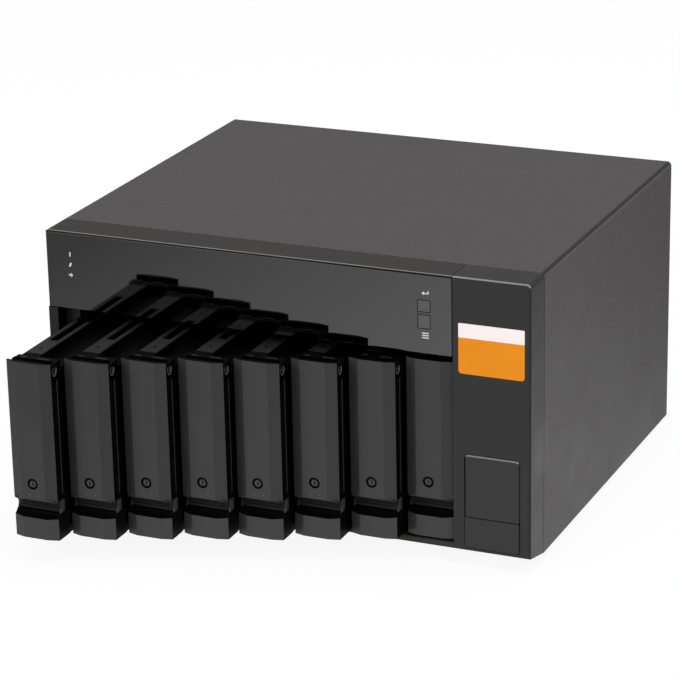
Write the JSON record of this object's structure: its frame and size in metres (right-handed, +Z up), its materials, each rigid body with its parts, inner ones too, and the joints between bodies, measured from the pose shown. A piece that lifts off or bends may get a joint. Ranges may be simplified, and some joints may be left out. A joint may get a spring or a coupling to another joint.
{
  "type": "disk shelf enclosure",
  "caption": "Desktop disk shelf enclosure: steel case with a row of pull-out drive trays, gloss key panel, power column, rear fans, power inlet and data ports.",
  "frame": {"origin": "on the surface the feet stand on, below the middle of the shelf's box with the trays pulled out in steps", "axes": "+X to the right seen from the front, +Y to the back, +Z up"},
  "size_m": [0.3292, 0.37, 0.1882],
  "materials": {
    "case_paint": "fine matte texture paint",
    "rear_paint": "satin black paint",
    "psu_steel": "zinc-plated sheet",
    "bezel_plastic": "fine grain",
    "column_plastic": "fine grain",
    "panel_gloss": "mirror gloss",
    "key_gloss": "gloss",
    "power_plastic": "fine grain",
    "clear_plastic": "clear, lit white",
    "handle_plastic": "satin",
    "carrier_plastic": "satin",
    "strip_plastic": "satin",
    "lock_metal": "dark nickel",
    "guide_plastic": "low-friction black",
    "circuit_board": "green solder mask",
    "socket_plastic": "black nylon",
    "fan_plastic": "black",
    "rotor_plastic": "black",
    "port_metal": "bright plated",
    "black_screws": "black zinc",
    "foot_rubber": "matte"
  },
  "bodies": {
    "chassis": {"outer_cover": "case_paint", "base_chassis": "rear_paint", "rear_panel": "rear_paint", "rubber_feet": "foot_rubber", "rear_screws": "black_screws", "front_bezel": "bezel_plastic", "column_fascia": "column_plastic", "display_panel": "panel_gloss", "badge_plate": "power_plastic", "light_pipe": "clear_plastic", "front_board": "circuit_board", "power_switch_board": "circuit_board", "drive_cage": "rear_paint", "tray_guides": "guide_plastic", "backplane_board": "circuit_board", "sata_sockets": "socket_plastic", "fan_left_frame": "fan_plastic", "fan_right_frame": "fan_plastic", "psu_case": "psu_steel", "psu_inlet": "socket_plastic", "port_board": "circuit_board", "data_ports": "port_metal"},
    "tray_1": {"tray_1_carrier": "carrier_plastic", "tray_1_strips": "strip_plastic"},
    "tray_1_lever": {"tray_1_handle": "handle_plastic"},
    "tray_1_key_lock": {"tray_1_lock": "lock_metal"},
    "tray_2": {"tray_2_carrier": "carrier_plastic", "tray_2_strips": "strip_plastic"},
    "tray_2_lever": {"tray_2_handle": "handle_plastic"},
    "tray_2_key_lock": {"tray_2_lock": "lock_metal"},
    "tray_3": {"tray_3_carrier": "carrier_plastic", "tray_3_strips": "strip_plastic"},
    "tray_3_lever": {"tray_3_handle": "handle_plastic"},
    "tray_3_key_lock": {"tray_3_lock": "lock_metal"},
    "tray_4": {"tray_4_carrier": "carrier_plastic", "tray_4_strips": "strip_plastic"},
    "tray_4_lever": {"tray_4_handle": "handle_plastic"},
    "tray_4_key_lock": {"tray_4_lock": "lock_metal"},
    "tray_5": {"tray_5_carrier": "carrier_plastic", "tray_5_strips": "strip_plastic"},
    "tray_5_lever": {"tray_5_handle": "handle_plastic"},
    "tray_5_key_lock": {"tray_5_lock": "lock_metal"},
    "tray_6": {"tray_6_carrier": "carrier_plastic", "tray_6_strips": "strip_plastic"},
    "tray_6_lever": {"tray_6_handle": "handle_plastic"},
    "tray_6_key_lock": {"tray_6_lock": "lock_metal"},
    "tray_7": {"tray_7_carrier": "carrier_plastic", "tray_7_strips": "strip_plastic"},
    "tray_7_lever": {"tray_7_handle": "handle_plastic"},
    "tray_7_key_lock": {"tray_7_lock": "lock_metal"},
    "tray_8": {"tray_8_carrier": "carrier_plastic", "tray_8_strips": "strip_plastic"},
    "tray_8_lever": {"tray_8_handle": "handle_plastic"},
    "tray_8_key_lock": {"tray_8_lock": "lock_metal"},
    "enter_key": {"enter_button": "key_gloss"},
    "select_key": {"select_button": "key_gloss"},
    "power_key": {"power_button": "power_plastic"},
    "fan_left": {"fan_left_rotor": "rotor_plastic"},
    "fan_right": {"fan_right_rotor": "rotor_plastic"},
    "psu_fan": {"psu_fan_rotor": "rotor_plastic"}
  },
  "joints": [
    {"name": "tray_1_slide", "type": "slide", "parent": "chassis", "child": "tray_1", "axis": [0, -1, 0], "range_m": [-0.0904, 0.0596]},
    {"name": "tray_1_lever_hinge", "type": "hinge", "parent": "tray_1", "child": "tray_1_lever", "pos_m": [-0.13095, -0.178, 0.127], "axis": [-1, 0, 0], "range_deg": [0, 45]},
    {"name": "tray_1_lock_turn", "type": "hinge", "parent": "tray_1_lever", "child": "tray_1_key_lock", "pos_m": [-0.1316, -0.182, 0.0519], "axis": [0, 1, 0], "range_deg": [0, 90]},
    {"name": "tray_2_slide", "type": "slide", "parent": "chassis", "child": "tray_2", "axis": [0, -1, 0], "range_m": [-0.0766, 0.0734]},
    {"name": "tray_2_lever_hinge", "type": "hinge", "parent": "tray_2", "child": "tray_2_lever", "pos_m": [-0.09825, -0.1642, 0.127], "axis": [-1, 0, 0], "range_deg": [0, 45]},
    {"name": "tray_2_lock_turn", "type": "hinge", "parent": "tray_2_lever", "child": "tray_2_key_lock", "pos_m": [-0.0989, -0.1682, 0.0519], "axis": [0, 1, 0], "range_deg": [0, 90]},
    {"name": "tray_3_slide", "type": "slide", "parent": "chassis", "child": "tray_3", "axis": [0, -1, 0], "range_m": [-0.0633, 0.0867]},
    {"name": "tray_3_lever_hinge", "type": "hinge", "parent": "tray_3", "child": "tray_3_lever", "pos_m": [-0.06555, -0.1509, 0.127], "axis": [-1, 0, 0], "range_deg": [0, 45]},
    {"name": "tray_3_lock_turn", "type": "hinge", "parent": "tray_3_lever", "child": "tray_3_key_lock", "pos_m": [-0.0662, -0.1549, 0.0519], "axis": [0, 1, 0], "range_deg": [0, 90]},
    {"name": "tray_4_slide", "type": "slide", "parent": "chassis", "child": "tray_4", "axis": [0, -1, 0], "range_m": [-0.0508, 0.0992]},
    {"name": "tray_4_lever_hinge", "type": "hinge", "parent": "tray_4", "child": "tray_4_lever", "pos_m": [-0.03285, -0.1384, 0.127], "axis": [-1, 0, 0], "range_deg": [0, 45]},
    {"name": "tray_4_lock_turn", "type": "hinge", "parent": "tray_4_lever", "child": "tray_4_key_lock", "pos_m": [-0.0335, -0.1424, 0.0519], "axis": [0, 1, 0], "range_deg": [0, 90]},
    {"name": "tray_5_slide", "type": "slide", "parent": "chassis", "child": "tray_5", "axis": [0, -1, 0], "range_m": [-0.0397, 0.1103]},
    {"name": "tray_5_lever_hinge", "type": "hinge", "parent": "tray_5", "child": "tray_5_lever", "pos_m": [-0.00015, -0.1273, 0.127], "axis": [-1, 0, 0], "range_deg": [0, 45]},
    {"name": "tray_5_lock_turn", "type": "hinge", "parent": "tray_5_lever", "child": "tray_5_key_lock", "pos_m": [-0.0008, -0.1313, 0.0519], "axis": [0, 1, 0], "range_deg": [0, 90]},
    {"name": "tray_6_slide", "type": "slide", "parent": "chassis", "child": "tray_6", "axis": [0, -1, 0], "range_m": [-0.0266, 0.1234]},
    {"name": "tray_6_lever_hinge", "type": "hinge", "parent": "tray_6", "child": "tray_6_lever", "pos_m": [0.03255, -0.1142, 0.127], "axis": [-1, 0, 0], "range_deg": [0, 45]},
    {"name": "tray_6_lock_turn", "type": "hinge", "parent": "tray_6_lever", "child": "tray_6_key_lock", "pos_m": [0.0319, -0.1182, 0.0519], "axis": [0, 1, 0], "range_deg": [0, 90]},
    {"name": "tray_7_slide", "type": "slide", "parent": "chassis", "child": "tray_7", "axis": [0, -1, 0], "range_m": [-0.013, 0.137]},
    {"name": "tray_7_lever_hinge", "type": "hinge", "parent": "tray_7", "child": "tray_7_lever", "pos_m": [0.06525, -0.1006, 0.127], "axis": [-1, 0, 0], "range_deg": [0, 45]},
    {"name": "tray_7_lock_turn", "type": "hinge", "parent": "tray_7_lever", "child": "tray_7_key_lock", "pos_m": [0.0646, -0.1046, 0.0519], "axis": [0, 1, 0], "range_deg": [0, 90]},
    {"name": "tray_8_slide", "type": "slide", "parent": "chassis", "child": "tray_8", "axis": [0, -1, 0], "range_m": [0, 0.15]},
    {"name": "tray_8_lever_hinge", "type": "hinge", "parent": "tray_8", "child": "tray_8_lever", "pos_m": [0.09795, -0.0876, 0.127], "axis": [-1, 0, 0], "range_deg": [0, 45]},
    {"name": "tray_8_lock_turn", "type": "hinge", "parent": "tray_8_lever", "child": "tray_8_key_lock", "pos_m": [0.0973, -0.0916, 0.0519], "axis": [0, 1, 0], "range_deg": [0, 90]},
    {"name": "enter_press", "type": "slide", "parent": "chassis", "child": "enter_key", "axis": [0, 1, 0], "range_m": [0, 0.0005], "stiffness_N_per_m": 600},
    {"name": "select_press", "type": "slide", "parent": "chassis", "child": "select_key", "axis": [0, 1, 0], "range_m": [0, 0.0005], "stiffness_N_per_m": 600},
    {"name": "power_press", "type": "slide", "parent": "chassis", "child": "power_key", "axis": [0, 1, 0], "range_m": [0, 0.0007], "stiffness_N_per_m": 600},
    {"name": "fan_left_spin", "type": "hinge", "parent": "chassis", "child": "fan_left", "pos_m": [-0.098, 0.1698, 0.072], "axis": [0, 1, 0], "continuous": true},
    {"name": "fan_right_spin", "type": "hinge", "parent": "chassis", "child": "fan_right", "pos_m": [0.026, 0.1698, 0.072], "axis": [0, 1, 0], "continuous": true},
    {"name": "psu_fan_spin", "type": "hinge", "parent": "chassis", "child": "psu_fan", "pos_m": [0.13985, 0.1743, 0.067], "axis": [0, 1, 0], "continuous": true}
  ]
}
